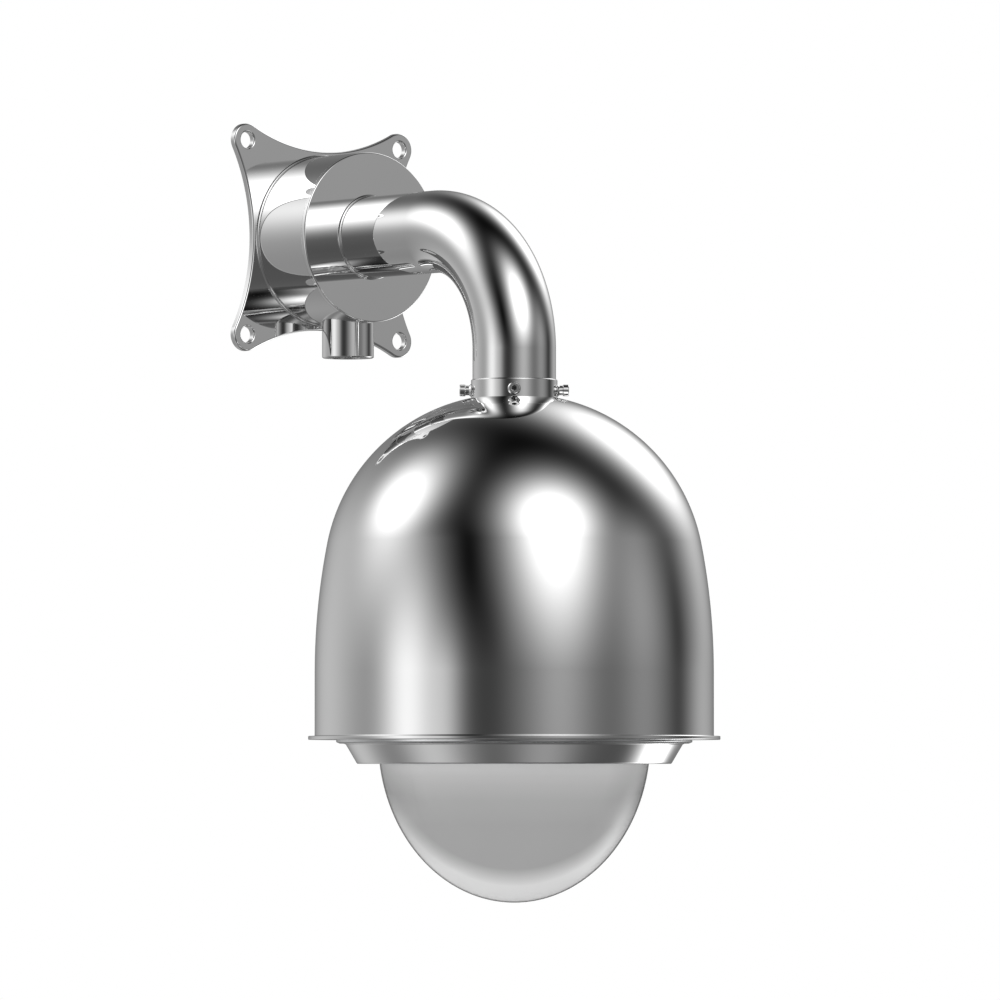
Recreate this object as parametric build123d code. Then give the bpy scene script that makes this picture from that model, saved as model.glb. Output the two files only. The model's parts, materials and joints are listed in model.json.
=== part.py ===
from build123d import *

import os
from math import asin, cos, radians, sin, sqrt

# Dome camera housing hung from a swan-neck wall arm, all in polished stainless steel.
# Millimetres, +Z up. The origin is the centre of the wall plate's hole pattern, on its back face.
# The wall is on the +Y side. The arm leaves along -Y and turns down to the dome's vertical axis.

# Wall plate
bolt_spacing = 120.0
bolt_hole_radius = 5.0
plate_thickness = 4.2
plate_chamfer = 1.1
ear_radius = 10.1
side_arc_radius = 120.0
wiring_opening_radius = 40.0

# Junction drum and conduit hub
drum_radius = 52.4
drum_reach = 50.9
drum_wall = 3.0
drum_face_thickness = 3.0
drum_rim_chamfer = 0.9
hub_radius = 16.0
hub_bore_radius = 11.75
hub_standoff = 27.9
hub_reach = 73.6
hub_chamfer = 0.6
weld_leg = 1.5

# Swan-neck arm
arm_radius = 25.1
arm_wall = 2.0
arm_reach = 188.3
bend_radius = 75.0

# Arm end, collar and lock screws
collar_radius = 26.0
collar_rise = 8.8
collar_depth = 12.4
collar_chamfer_high = 1.3
spigot_radius = 22.0
spigot_wall = 4.0
spigot_insert = 13.0
spigot_gap = 0.05
spigot_seal_width = 2.6
spigot_seal_depth = 1.5
spigot_seal_drop = 13.0
lock_screw_count = 4
lock_screw_angle = 50.2
lock_screw_drop = 6.5
lock_screw_radius = 2.0
lock_screw_flare_radius = 3.9
lock_screw_flare_length = 1.2
lock_screw_neck_radius = 2.9
lock_screw_neck_length = 2.0
lock_screw_head_radius = 3.5
lock_screw_head_length = 3.7
lock_screw_head_chamfer = 0.4
lock_groove_depth = 1.0
lock_groove_gap = 0.6

# Bell-shaped shroud
crown_drop = 102.0
crown_inset = 9.1
crown_offset = 3.7
shoulder_radius = 407.0
bell_radius = 119.8
bell_height = 207.6
bell_sheet = 1.5
flange_reach = 3.9
flange_thickness = 2.3
flange_fillet = 0.8

# Hanger inside the crown
doubler_sheet = 3.0
doubler_radius = 58.0
hanger_count = 3
hanger_radius = 5.0
hanger_circle = 46.0

# Chassis plate and what stands on it
chassis_drop = 123.0
chassis_clearance = 12.5
chassis_thickness = 3.0
chassis_slot_count = 3
chassis_slot_circle = 76.0
chassis_slot_width = 12.0
chassis_slot_angle = 40.0
ring_post_count = 4
ring_post_radius = 4.0
ring_post_inset = 8.0
ring_post_angle = 45.0
pan_motor_radius = 28.0
pan_motor_height = 44.0
pan_motor_flange_radius = 34.0
pan_motor_flange_thickness = 3.0
slip_ring_radius = 12.0
slip_ring_height = 26.0
board_inner_radius = 58.0
board_inset = 10.0
board_angle = 270.0
board_thickness = 1.6
board_lift = 10.4
board_post_count = 4
board_post_circle = 64.0
board_post_flats = 5.5
board_screw_radius = 1.5

# Screws shared by the inner frame
thread_gap = 0.05
thread_spare = 1.0
frame_screw_radius = 2.5
frame_screw_length = 10.0
frame_screw_head_radius = 4.25
frame_screw_head_length = 4.0

# Base ring under the bell
base_ring_bore_inset = 1.7
base_ring_web = 7.9
base_ring_rim_width = 8.5
base_ring_rim_height = 13.9
step_inset = 11.4
step_drop = 2.3
skirt_seal_width = 2.6
skirt_seal_depth = 1.5
skirt_seal_rise = 4.5
seal_land_drop = 3.6
seal_land_inset = 0.3

# Bezel ring and its screws
bezel_inset = 5.8
bezel_flare = 1.2
bezel_flare_height = 0.6
bezel_taper = 6.4
bezel_drop = 12.1
bezel_chamfer = 0.6
bezel_lip = 3.0
bezel_wall = 8.7
bezel_screw_count = 6
bezel_screw_inset = 4.5
bezel_screw_radius = 1.5
bezel_screw_head_radius = 2.75
bezel_screw_head_length = 3.0
bezel_screw_length = 14.0
bezel_screw_gap = 0.2
bezel_screw_recess = 0.4
bezel_screw_angle = 15.0

# Bubble
bubble_depth = 97.6
bubble_wall = 3.0
bubble_flange_width = 4.3
bubble_gap = 0.3
bubble_seal_thickness = 2.5
bubble_seal_inset = 1.2

# Pan drive
pan_shaft_radius = 6.0
pan_shaft_engagement = 20.0
running_gap = 0.05
end_gap = 0.4
pan_bearing_radius = 11.0
pan_bearing_flange_radius = 15.0
pan_bearing_flange = 3.0
turntable_radius = 62.0
turntable_thickness = 4.0
turntable_boss_radius = 9.0
turntable_boss_height = 4.7
turntable_hole_count = 6
turntable_hole_circle = 48.0
turntable_hole_radius = 6.0

# Yoke and tilt drive
tilt_drop = 10.4
yoke_inner_half_width = 35.0
yoke_sheet = 2.5
yoke_bend_radius = 4.0
yoke_arm_half_width = 15.0
yoke_top_half_width = 24.0
yoke_top_height = 14.0
yoke_screw_spacing_x = 44.0
yoke_screw_spacing_y = 30.0
yoke_screw_radius = 1.5
yoke_screw_head_radius = 2.75
yoke_screw_head_length = 2.5
tilt_seat_radius = 7.0
tilt_shaft_radius = 4.0
tilt_shaft_end = 8.0
tilt_shaft_collar_radius = 7.0
tilt_bush_flange_radius = 9.0
tilt_bush_flange = 2.0
tilt_motor_radius = 14.0
tilt_motor_length = 17.0

# Camera block
camera_half_width = 29.0
camera_height = 52.0
camera_length = 68.0
camera_corner = 8.0
camera_edge = 2.0
camera_groove_count = 6
camera_groove_pitch = 8.0
camera_groove_width = 3.0
camera_groove_depth = 1.5
case_back_thickness = 5.0
front_ring_thickness = 4.0
front_ring_inset = 1.0
lens_barrel_radius = 21.0
lens_barrel_wall = 3.0
lens_barrel_reach = 12.0
lens_barrel_seat = 6.0
lens_glass_edge = 3.0
lens_glass_bulge = 4.0

# Bell sizes worked out from its radius
bell_bore = bell_radius - bell_sheet
flange_radius = bell_radius + flange_reach
crown_radius = bell_radius - crown_inset

# Heights worked out from the driving sizes
crown_top = -crown_drop
crown_centre = crown_top - crown_radius
collar_top = crown_top + collar_rise
collar_bottom = crown_top - collar_depth
lock_screw_height = collar_top - lock_screw_drop
flange_bottom = crown_top - bell_height
flange_top = flange_bottom + flange_thickness
chassis_top = crown_top - chassis_drop
chassis_bottom = chassis_top - chassis_thickness
step_bottom = flange_bottom - step_drop
base_ring_web_top = step_bottom + base_ring_web
base_ring_top = step_bottom + base_ring_rim_height
seal_land = step_bottom - seal_land_drop
bezel_bottom = step_bottom - bezel_drop
bubble_flange_bottom = bezel_bottom + bezel_lip
bubble_flange_top = seal_land - bubble_seal_thickness
bubble_centre = flange_bottom
tilt_height = bubble_centre - tilt_drop
bearing_bottom = chassis_bottom - pan_bearing_flange
turntable_top = bearing_bottom - end_gap - turntable_boss_height
turntable_bottom = turntable_top - turntable_thickness

# Radii worked out from the driving sizes
arm_bore = arm_radius - arm_wall
collar_bore = spigot_radius + spigot_gap
spigot_bore = spigot_radius - spigot_wall
doubler_inset = bell_sheet + doubler_sheet
chassis_radius = bell_bore - chassis_clearance
ring_post_circle = chassis_radius - ring_post_inset
board_outer_radius = chassis_radius - board_inset
base_ring_outer = bell_bore
base_ring_rim_radius = base_ring_outer - base_ring_rim_width
step_radius = base_ring_outer - step_inset
bezel_top_radius = step_radius - bezel_inset
bezel_bottom_radius = bezel_top_radius - bezel_taper
bezel_screw_circle = bezel_bottom_radius - bezel_screw_inset
bubble_flange_radius = bezel_bottom_radius - bezel_wall
bubble_radius = bubble_flange_radius - bubble_flange_width
bubble_seal_inner_radius = bubble_radius - bubble_seal_inset
base_ring_bore = bubble_radius - base_ring_bore_inset
yoke_outer_half_width = yoke_inner_half_width + yoke_sheet

dome_axis = Pos(0, -arm_reach, 0)


def outline(*corners):
    """Closed face in the XY plane through the given corners"""
    return make_face(Polyline(*corners, close=True))


def turned(face):
    """Turn a face drawn as (radius, height) about the vertical axis"""
    return Rot(90, 0, 0) * revolve(face, Axis.Y)


def turned_on_wall(*corners):
    """Turn (radius, distance from the wall) corners about the arm's axis at the wall"""
    return Rot(180, 0, 0) * revolve(outline(*corners), Axis.Y)


def disc(radius, low, high, bore=0.0):
    """Washer or disc on the vertical axis between two heights"""
    return turned(outline((bore, low), (radius, low), (radius, high), (bore, high)))


def around(count, shape, turn=0.0):
    """Copies of a shape spread evenly about the vertical axis"""
    step = 360 / count
    return [Rot(0, 0, turn + step * index) * shape for index in range(count)]


def group(shapes):
    """Identical pieces kept as separate solids"""
    return Compound([solid for shape in shapes for solid in shape.solids()])


# Wall side


def wall_plate():
    """Four-eared plate with hollowed sides, chamfered round its front edge and its holes"""
    ear = bolt_spacing / 2
    side_centre = ear + sqrt((side_arc_radius + ear_radius) ** 2 - ear**2)
    share = ear_radius / (side_arc_radius + ear_radius)
    near = ear - ear * share
    far = ear + (side_centre - ear) * share
    tip = ear + ear_radius * cos(radians(45))
    side = ThreePointArc((-near, far), (0, side_centre - side_arc_radius), (near, far))
    corner = ThreePointArc((near, far), (tip, tip), (far, near))
    edges = [Rot(0, 0, -90 * index) * edge for index in range(4) for edge in (side, corner)]
    plate = extrude(make_face(edges), plate_thickness)
    bolt_hole = Cylinder(bolt_hole_radius, 3 * plate_thickness)
    plate -= GridLocations(bolt_spacing, bolt_spacing, 2, 2) * bolt_hole
    plate = chamfer(plate.faces().sort_by(Axis.Z)[-1].edges(), plate_chamfer)
    plate -= Cylinder(wiring_opening_radius, 3 * plate_thickness)
    return Rot(90, 0, 0) * plate


def plate_weld():
    """Bead where the drum meets the plate"""
    return turned_on_wall(
        (drum_radius, plate_thickness),
        (drum_radius + weld_leg, plate_thickness),
        (drum_radius, plate_thickness + weld_leg),
    )


def hub_bore():
    """The conduit thread's core, from the drum's hollow out through the hub's mouth"""
    return Pos(0, -hub_standoff, 0) * disc(hub_bore_radius, -2 * hub_reach, 0)


def drum_shell():
    """Short tube that stands on the plate, with the conduit entry through its underside"""
    face_back = drum_reach - drum_face_thickness
    inner = drum_radius - drum_wall
    ring = turned_on_wall(
        (inner, plate_thickness),
        (drum_radius, plate_thickness),
        (drum_radius, face_back),
        (inner, face_back),
    )
    return ring - hub_bore()


def drum_face():
    """Round cover welded over the drum, with the wire way into the arm"""
    back = drum_reach - drum_face_thickness
    rim = drum_reach - drum_rim_chamfer
    return turned_on_wall(
        (arm_bore, back),
        (drum_radius, back),
        (drum_radius, rim),
        (drum_radius - drum_rim_chamfer, drum_reach),
        (arm_bore, drum_reach),
    )


def conduit_hub():
    """Open threaded hub under the drum, shaped to the drum's side where it lands"""
    hub = disc(hub_radius, -hub_reach, 0)
    hub = chamfer(hub.faces().sort_by(Axis.Z)[0].edges(), hub_chamfer)
    hub = Pos(0, -hub_standoff, 0) * hub
    drum = turned_on_wall((0, 0), (drum_radius, 0), (drum_radius, 2 * hub_standoff), (0, 2 * hub_standoff))
    return hub - drum - hub_bore()


def arm_weld():
    """Bead where the arm meets the drum's face"""
    return turned_on_wall(
        (arm_radius, drum_reach), (arm_radius + weld_leg, drum_reach), (arm_radius, drum_reach + weld_leg)
    )


def gooseneck_arm():
    """Tube straight out of the drum, round a quarter bend and down onto the collar"""
    bend_start = arm_reach - bend_radius
    half_turn = radians(45)
    bend_middle = (0, -bend_start - bend_radius * sin(half_turn), -bend_radius * (1 - cos(half_turn)))
    out = Line((0, -drum_reach, 0), (0, -bend_start, 0))
    bend = ThreePointArc(out @ 1, bend_middle, (0, -arm_reach, -bend_radius))
    down = Line(bend @ 1, (0, -arm_reach, collar_top))
    section = Plane(origin=out @ 0, z_dir=(0, -1, 0)) * (Circle(arm_radius) - Circle(arm_bore))
    return sweep(section, path=Wire([out, bend, down]))


# Arm end and collar


def arm_spigot():
    """Turned plug welded in the arm's end, grooved for the lock screws and for its seal"""
    groove = lock_screw_radius + lock_groove_gap
    groove_floor = spigot_radius - lock_groove_depth
    seal_middle = collar_top - spigot_seal_drop
    seal_half = spigot_seal_width / 2
    seal_floor = spigot_radius - spigot_seal_depth
    body = turned(
        outline(
            (spigot_bore, collar_bottom),
            (spigot_radius, collar_bottom),
            (spigot_radius, collar_top),
            (arm_bore, collar_top),
            (arm_bore, collar_top + spigot_insert),
            (spigot_bore, collar_top + spigot_insert),
        )
    )
    body -= disc(2 * spigot_radius, lock_screw_height - groove, lock_screw_height + groove, groove_floor)
    body -= disc(2 * spigot_radius, seal_middle - seal_half, seal_middle + seal_half, seal_floor)
    return dome_axis * body


def spigot_seal():
    """Ring in the spigot's lower groove, pressed flat by the collar's bore"""
    middle = collar_top - spigot_seal_drop
    half = spigot_seal_width / 2
    return dome_axis * disc(collar_bore, middle - half, middle + half, spigot_radius - spigot_seal_depth)


def collar():
    """Turned socket that stands through the crown, tapped for the lock screws"""
    body = turned(
        outline(
            (collar_bore, collar_bottom),
            (collar_radius, collar_bottom),
            (collar_radius, collar_top - collar_chamfer_high),
            (arm_radius, collar_top),
            (collar_bore, collar_top),
        )
    )
    tapping = disc(lock_screw_radius + thread_gap, 0, 2 * collar_radius)
    tapping = Pos(0, 0, lock_screw_height) * Rot(0, 90, 0) * tapping
    body -= around(lock_screw_count, tapping, lock_screw_angle)
    return dome_axis * body


def lock_screw():
    """Socket-head screw along +Z, at its true distance from the spigot's axis"""
    tip = spigot_radius - lock_groove_depth
    flare_end = collar_radius + lock_screw_flare_length
    neck_end = flare_end + lock_screw_neck_length
    head_end = neck_end + lock_screw_head_length
    bevel = lock_screw_head_chamfer
    head = turned(
        outline(
            (0, spigot_radius),
            (lock_screw_flare_radius, spigot_radius),
            (lock_screw_flare_radius, collar_radius),
            (lock_screw_neck_radius, flare_end),
            (lock_screw_neck_radius, neck_end),
            (lock_screw_head_radius - bevel, neck_end),
            (lock_screw_head_radius, neck_end + bevel),
            (lock_screw_head_radius, head_end - bevel),
            (lock_screw_head_radius - bevel, head_end),
            (0, head_end),
        )
    )
    head -= Rot(0, 90, 0) * Cylinder(collar_radius, 3 * collar_radius)
    hexagon = RegularPolygon(0.75 * lock_screw_radius, 6, major_radius=False)
    socket = extrude(hexagon, lock_screw_head_length)
    socket_floor = neck_end + lock_screw_head_length / 3
    shank = disc(lock_screw_radius, tip, flare_end)
    return head + shank - Pos(0, 0, socket_floor) * socket


def lock_screws():
    """Screws that clamp the collar on the spigot, one of them square to the viewer"""
    screw = Pos(0, 0, lock_screw_height) * Rot(0, 90, 0) * lock_screw()
    return dome_axis * group(around(lock_screw_count, screw, lock_screw_angle))


# Bell


def bell_face(inset):
    """Half section of the bell's solid form: crown arc, long shoulder arc, straight skirt"""
    crown = crown_radius - inset
    shoulder = shoulder_radius - inset
    skirt = bell_radius - inset
    shoulder_in = shoulder_radius - bell_radius
    centres_apart = shoulder_radius - crown_radius
    skirt_top = crown_centre - sqrt(centres_apart**2 - (shoulder_in + crown_offset) ** 2)
    lean = asin((crown_centre - skirt_top) / centres_apart)
    meet = (crown_offset + crown * cos(lean), crown_centre + crown * sin(lean))
    middle_of_crown = radians(90) / 2 + lean / 2
    middle_of_shoulder = lean / 2
    crown_arc = ThreePointArc(
        (crown_offset, crown_centre + crown),
        (crown_offset + crown * cos(middle_of_crown), crown_centre + crown * sin(middle_of_crown)),
        meet,
    )
    shoulder_arc = ThreePointArc(
        meet,
        (shoulder * cos(middle_of_shoulder) - shoulder_in, skirt_top + shoulder * sin(middle_of_shoulder)),
        (skirt, skirt_top),
    )
    top = crown_centre + crown
    rest = Polyline((skirt, skirt_top), (skirt, flange_bottom), (0, flange_bottom), (0, top), (crown_offset, top))
    return make_face([crown_arc, shoulder_arc, *rest.edges()])


def shroud():
    """Spun bell with a turned-out flange whose lip is rounded, bored for the collar"""
    flange = outline(
        (bell_bore, flange_bottom),
        (flange_radius, flange_bottom),
        (flange_radius, flange_top),
        (bell_bore, flange_top),
    )
    section = bell_face(0) - bell_face(bell_sheet) + flange
    section -= Pos(0, crown_top) * Rectangle(2 * collar_radius, 2 * collar_radius)
    lip = section.vertices().filter_by_position(Axis.X, flange_radius - flange_fillet, 2 * flange_radius)
    section = fillet(lip, flange_thickness * 0.45)
    root = section.vertices().sort_by_distance((bell_radius, flange_top, 0))[0]
    return dome_axis * turned(fillet(root, flange_fillet))


def crown_doubler():
    """Dished ring that stiffens the crown from inside and carries the hangers"""
    section = bell_face(bell_sheet) - bell_face(doubler_inset)
    width = doubler_radius - collar_radius
    window = Pos(collar_radius + width / 2, crown_top) * Rectangle(width, crown_radius)
    return dome_axis * turned(section & window)


# Inner frame


def frame_screw():
    """Cap screw along +Z with its head's underside at height 0"""
    head = disc(frame_screw_head_radius, -frame_screw_head_length, 0)
    socket = extrude(RegularPolygon(frame_screw_radius, 6, major_radius=True), frame_screw_head_length / 2)
    shank = disc(frame_screw_radius, 0, frame_screw_length)
    return head + shank - Pos(0, 0, -frame_screw_head_length) * socket


def screw_hole(radius, low, high, circle):
    """Cutter for one screw's hole, set out on its circle"""
    return Pos(circle, 0, 0) * disc(radius + thread_gap, low, high)


def hanger_posts():
    """Round bars from the doubler down to the chassis, their tops cut to its curve"""
    post = Pos(hanger_circle, 0, 0) * disc(hanger_radius, chassis_top, crown_top)
    post &= turned(bell_face(doubler_inset))
    thread_top = chassis_bottom + frame_screw_length + thread_spare
    post -= screw_hole(frame_screw_radius, chassis_bottom, thread_top, hanger_circle)
    return dome_axis * group(around(hanger_count, post))


def ring_posts():
    """Round bars from the chassis down to the base ring's web, tapped at both ends"""
    post = Pos(ring_post_circle, 0, 0) * disc(ring_post_radius, base_ring_web_top, chassis_bottom)
    depth = frame_screw_length - chassis_thickness + thread_spare
    post -= screw_hole(frame_screw_radius, chassis_bottom - depth, chassis_bottom, ring_post_circle)
    stud_top = step_bottom + base_ring_web + depth
    post -= screw_hole(frame_screw_radius, base_ring_web_top, stud_top, ring_post_circle)
    return dome_axis * group(around(ring_post_count, post, ring_post_angle))


def chassis_plate():
    """Plate that carries the pan drive and the board, with curved slots for the wiring"""
    plate = disc(chassis_radius, chassis_bottom, chassis_top, pan_bearing_radius)
    hole = screw_hole(frame_screw_radius, chassis_bottom, chassis_top, hanger_circle)
    plate -= around(hanger_count, hole)
    hole = screw_hole(frame_screw_radius, chassis_bottom, chassis_top, ring_post_circle)
    plate -= around(ring_post_count, hole, ring_post_angle)
    section = Rectangle(chassis_slot_width, 3 * chassis_thickness)
    section = Plane.XZ * Pos(chassis_slot_circle, chassis_bottom) * section
    slot = Rot(0, 0, -chassis_slot_angle / 2) * revolve(section, Axis.Z, chassis_slot_angle)
    plate -= around(chassis_slot_count, slot, 180 / hanger_count)
    return dome_axis * plate


def chassis_screws():
    """Screws up through the chassis into the hangers"""
    screw = Pos(hanger_circle, 0, chassis_bottom) * frame_screw()
    return dome_axis * group(around(hanger_count, screw))


def ring_post_screws():
    """Screws down through the chassis into the ring posts"""
    screw = Pos(ring_post_circle, 0, chassis_top) * Rot(180, 0, 0) * frame_screw()
    return dome_axis * group(around(ring_post_count, screw, ring_post_angle))


def pan_motor():
    """Flanged motor on the chassis, bored from below for the turntable's shaft"""
    flange_height = chassis_top + pan_motor_flange_thickness
    top = chassis_top + pan_motor_height
    body = disc(pan_motor_radius, chassis_top, top)
    body = chamfer(body.edges().sort_by(Axis.Z)[-1], drum_rim_chamfer)
    body += disc(pan_motor_flange_radius, chassis_top, flange_height)
    bore_top = chassis_top + pan_shaft_engagement + end_gap
    shaft_room = disc(pan_shaft_radius + running_gap, chassis_top, bore_top)
    return dome_axis * (body - shaft_room)


def slip_ring():
    """Capsule on top of the motor that passes the wires to the turning head"""
    low = chassis_top + pan_motor_height
    body = disc(slip_ring_radius, low, low + slip_ring_height)
    return dome_axis * chamfer(body.edges().sort_by(Axis.Z)[-1], drum_rim_chamfer)


def board_places():
    """Angles of the board's posts, inside the ends of its open ring"""
    spread = board_angle * 0.8
    return [-spread / 2 + spread * index / (board_post_count - 1) for index in range(board_post_count)]


def control_board():
    """Open ring of circuit board round the motor"""
    low = chassis_top + board_lift
    middle = (board_inner_radius + board_outer_radius) / 2
    width = board_outer_radius - board_inner_radius
    section = Plane.XZ * Pos(middle, low + board_thickness / 2) * Rectangle(width, board_thickness)
    board = Rot(0, 0, -board_angle / 2) * revolve(section, Axis.Z, board_angle)
    hole = screw_hole(board_screw_radius, low, low + board_thickness, board_post_circle)
    board -= [Rot(0, 0, angle) * hole for angle in board_places()]
    return dome_axis * board


def board_standoffs():
    """Hexagonal posts under the board"""
    post = extrude(RegularPolygon(board_post_flats / 2, 6, major_radius=False), board_lift)
    post -= disc(board_screw_radius + thread_gap, board_lift / 2, board_lift)
    post = Pos(board_post_circle, 0, chassis_top) * post
    return dome_axis * group([Rot(0, 0, angle) * post for angle in board_places()])


def board_screws():
    """Pan-head screws that hold the board on its posts"""
    seat = chassis_top + board_lift + board_thickness
    head = disc(2 * board_screw_radius, seat, seat + board_screw_radius)
    shank = disc(board_screw_radius, chassis_top + board_lift / 2, seat)
    screw = Pos(board_post_circle, 0, 0) * (head + shank)
    return dome_axis * group([Rot(0, 0, angle) * screw for angle in board_places()])


# Base ring, bezel and bubble


def bezel_screw_place():
    """Where the bezel screws stand about the dome's axis"""
    return Pos(bezel_screw_circle, 0, 0)


def bezel_screw_span():
    """Heights of a bezel screw's lower face, its head's seat and its tip"""
    low = bezel_bottom + bezel_screw_recess
    seat = low + bezel_screw_head_length
    return low, seat, seat + bezel_screw_length


def base_ring():
    """Turned ring inside the skirt: grooved rim, web for the posts, step and seal land below"""
    groove_middle = flange_bottom + skirt_seal_rise
    groove_half = skirt_seal_width / 2
    groove_floor = base_ring_outer - skirt_seal_depth
    land_outer = bubble_flange_radius - seal_land_inset
    ring = turned(
        outline(
            (base_ring_bore, base_ring_web_top),
            (base_ring_rim_radius, base_ring_web_top),
            (base_ring_rim_radius, base_ring_top),
            (base_ring_outer, base_ring_top),
            (base_ring_outer, flange_bottom),
            (step_radius, flange_bottom),
            (step_radius - step_drop, step_bottom),
            (land_outer, step_bottom),
            (land_outer, seal_land),
            (base_ring_bore, seal_land),
        )
    )
    ring -= disc(2 * base_ring_outer, groove_middle - groove_half, groove_middle + groove_half, groove_floor)
    thread_top = bezel_screw_span()[2] + thread_spare
    thread = screw_hole(bezel_screw_radius, step_bottom, thread_top, bezel_screw_circle)
    return dome_axis * (ring - around(bezel_screw_count, thread, bezel_screw_angle))


def skirt_seal():
    """Flat ring in the base ring's rim that closes the skirt"""
    middle = flange_bottom + skirt_seal_rise
    half = skirt_seal_width / 2
    return dome_axis * disc(bell_bore, middle - half, middle + half, base_ring_outer - skirt_seal_depth)


def bezel_ring():
    """Tapered trim ring with a lip that holds the bubble's flange, counterbored for its screws"""
    recess = bubble_flange_radius + bubble_gap
    ring = turned(
        outline(
            (recess, step_bottom),
            (bezel_top_radius + bezel_flare, step_bottom),
            (bezel_top_radius, step_bottom - bezel_flare_height),
            (bezel_bottom_radius, bezel_bottom + bezel_chamfer),
            (bezel_bottom_radius - bezel_chamfer, bezel_bottom),
            (bubble_radius, bezel_bottom),
            (bubble_radius, bubble_flange_bottom),
            (recess, bubble_flange_bottom),
        )
    )
    seat = bezel_screw_span()[1]
    clear = bezel_screw_gap
    hole = disc(bezel_screw_radius + clear, seat, step_bottom)
    hole += disc(bezel_screw_head_radius + clear, bezel_bottom, seat)
    return dome_axis * (ring - around(bezel_screw_count, bezel_screw_place() * hole, bezel_screw_angle))


def bezel_screws():
    """Socket screws sunk in the bezel's underside"""
    low, seat, tip = bezel_screw_span()
    screw = disc(bezel_screw_head_radius, low, seat) + disc(bezel_screw_radius, seat, tip)
    hexagon = RegularPolygon(0.8 * bezel_screw_radius, 6, major_radius=False)
    socket = extrude(hexagon, bezel_screw_head_length / 2)
    screw = bezel_screw_place() * (screw - Pos(0, 0, low) * socket)
    return dome_axis * group(around(bezel_screw_count, screw, bezel_screw_angle))


def bubble_seal():
    """Flat gasket between the base ring's land and the bubble's flange"""
    outer = bubble_flange_radius - seal_land_inset
    return dome_axis * disc(outer, bubble_flange_top, seal_land, bubble_seal_inner_radius)


def bubble():
    """Blown dome with a drawn, slightly egg-shaped profile and a flat clamping flange"""
    wall = Ellipse(bubble_radius, bubble_depth)
    wall -= Ellipse(bubble_radius - bubble_wall, bubble_depth - bubble_wall)
    wall = Pos(0, bubble_centre) * wall
    below_flange = Rectangle(2 * bubble_radius, 2 * bubble_depth, align=(Align.MIN, Align.MAX))
    window = Pos(0, bubble_flange_top) * below_flange
    middle_of_wall = bubble_radius - bubble_wall / 2
    flange = outline(
        (middle_of_wall, bubble_flange_bottom),
        (bubble_flange_radius, bubble_flange_bottom),
        (bubble_flange_radius, bubble_flange_top),
        (middle_of_wall, bubble_flange_top),
    )
    return dome_axis * turned((wall & window) + flange)


# Pan drive


def pan_bearing():
    """Flanged bush pressed in the chassis, running on the turntable's shaft"""
    bush = disc(pan_bearing_radius, chassis_bottom, chassis_top, pan_shaft_radius + running_gap)
    flange = disc(pan_bearing_flange_radius, bearing_bottom, chassis_bottom, pan_shaft_radius + running_gap)
    return dome_axis * (bush + flange)


def yoke_screw_grid():
    """Places of the screws between the turntable and the yoke"""
    return GridLocations(yoke_screw_spacing_x, yoke_screw_spacing_y, 2, 2)


def pan_turntable():
    """Disc, boss and shaft turned in one, hung from the pan drive"""
    shaft_top = chassis_top + pan_shaft_engagement
    body = disc(turntable_radius, turntable_bottom, turntable_top)
    body += disc(turntable_boss_radius, turntable_top, turntable_top + turntable_boss_height)
    body += disc(pan_shaft_radius, turntable_top, shaft_top)
    hole = Pos(turntable_hole_circle, 0, 0) * disc(turntable_hole_radius, turntable_bottom, turntable_top)
    body -= around(turntable_hole_count, hole)
    body -= yoke_screw_grid() * disc(yoke_screw_radius + thread_gap, turntable_bottom, turntable_top)
    return dome_axis * body


def yoke():
    """Bent strap with two arms that hold the camera block at the tilt axis"""
    outer_top = turntable_bottom
    height = 2 * (outer_top - tilt_height)
    strap = RectangleRounded(2 * yoke_outer_half_width, height, yoke_bend_radius + yoke_sheet)
    strap -= RectangleRounded(2 * yoke_inner_half_width, height - 2 * yoke_sheet, yoke_bend_radius)
    strap = Plane.XZ * Pos(0, tilt_height) * strap
    strap = extrude(strap, yoke_top_half_width, both=True)
    waist = outer_top - yoke_top_height
    side = outline(
        (-yoke_top_half_width, outer_top),
        (yoke_top_half_width, outer_top),
        (yoke_top_half_width, waist),
        (yoke_arm_half_width, waist - yoke_top_height),
        (yoke_arm_half_width, tilt_height),
        (-yoke_arm_half_width, tilt_height),
        (-yoke_arm_half_width, waist - yoke_top_height),
        (-yoke_top_half_width, waist),
    )
    side += Pos(0, tilt_height) * Circle(yoke_arm_half_width)
    strap &= extrude(Plane.YZ * side, 2 * yoke_outer_half_width, both=True)
    strap -= Pos(0, 0, tilt_height) * Rot(0, 90, 0) * Cylinder(tilt_seat_radius, 4 * yoke_outer_half_width)
    screw_low = turntable_bottom - yoke_sheet
    strap -= yoke_screw_grid() * disc(yoke_screw_radius + thread_gap, screw_low, turntable_bottom)
    return dome_axis * strap


def yoke_screws():
    """Screws down through the turntable into the yoke"""
    head = disc(yoke_screw_head_radius, turntable_top, turntable_top + yoke_screw_head_length)
    screw = head + disc(yoke_screw_radius, turntable_bottom - yoke_sheet, turntable_top)
    return dome_axis * group(yoke_screw_grid() * screw)


# Tilt drive


def on_tilt_axis(face):
    """Turn a face drawn as (radius, distance from the dome's axis) about the tilt axis"""
    return dome_axis * Pos(0, 0, tilt_height) * Rot(0, 0, -90) * revolve(face, Axis.Y)


def tilt_motor():
    """Motor outside one arm, with a pilot through the arm and a blind bore for the shaft"""
    bore = tilt_shaft_radius + running_gap
    bore_end = yoke_outer_half_width + tilt_shaft_end + end_gap
    return on_tilt_axis(
        outline(
            (bore, yoke_inner_half_width),
            (tilt_seat_radius, yoke_inner_half_width),
            (tilt_seat_radius, yoke_outer_half_width),
            (tilt_motor_radius, yoke_outer_half_width),
            (tilt_motor_radius, yoke_outer_half_width + tilt_motor_length),
            (0, yoke_outer_half_width + tilt_motor_length),
            (0, bore_end),
            (bore, bore_end),
        )
    )


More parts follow.
